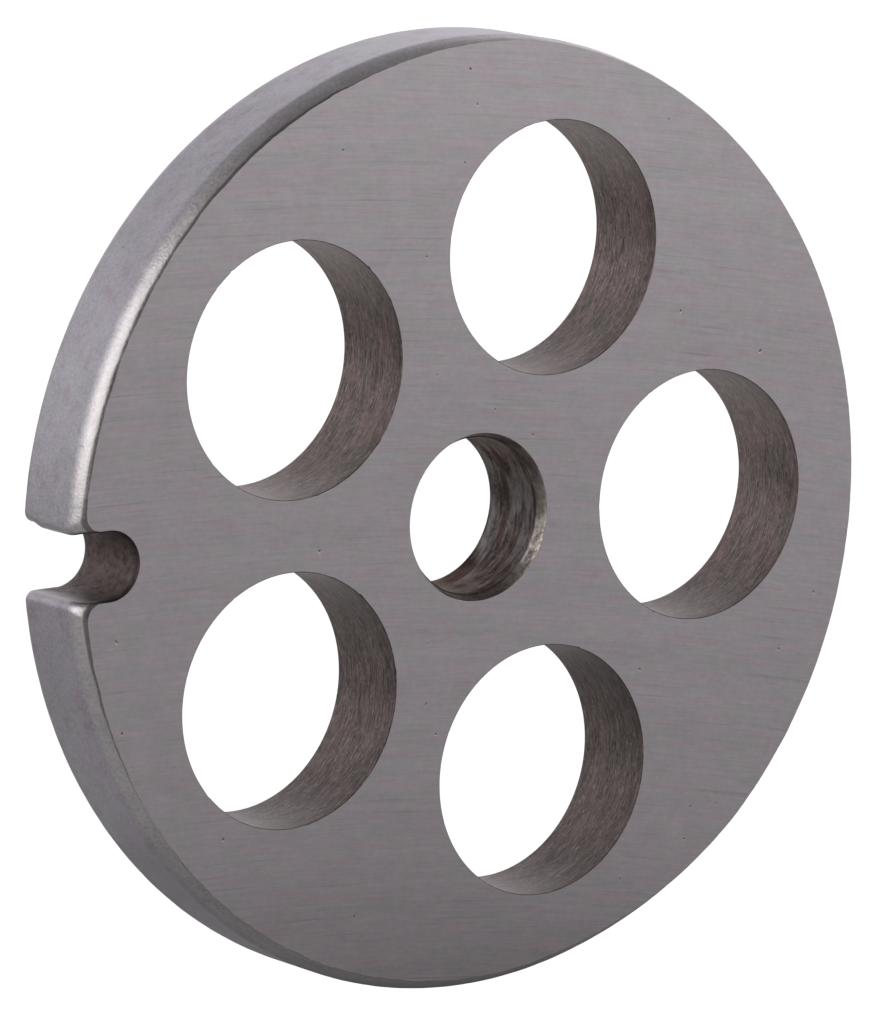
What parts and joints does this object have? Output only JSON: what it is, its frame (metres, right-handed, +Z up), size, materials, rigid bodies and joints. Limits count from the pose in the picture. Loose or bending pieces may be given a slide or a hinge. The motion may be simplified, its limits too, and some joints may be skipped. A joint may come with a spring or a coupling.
{
  "type": "meat grinder plate",
  "caption": "Round steel hole plate for a small meat grinder: large meat holes around a stud bore, and a key notch in the rim.",
  "frame": {"origin": "centre of the bore at half the plate's thickness", "axes": "+Y along the bore, from the ground face to the rear face; +Z up in use; the notch in the rim is at -X, 1.4 degrees towards -Z"},
  "size_m": [0.0619, 0.0064, 0.062],
  "materials": {
    "steel": "face ground with fine parallel lines, holes as drilled, rim and edges tumbled satin"
  },
  "bodies": {
    "root": {"grinder_plate": "steel"}
  },
  "joints": []
}
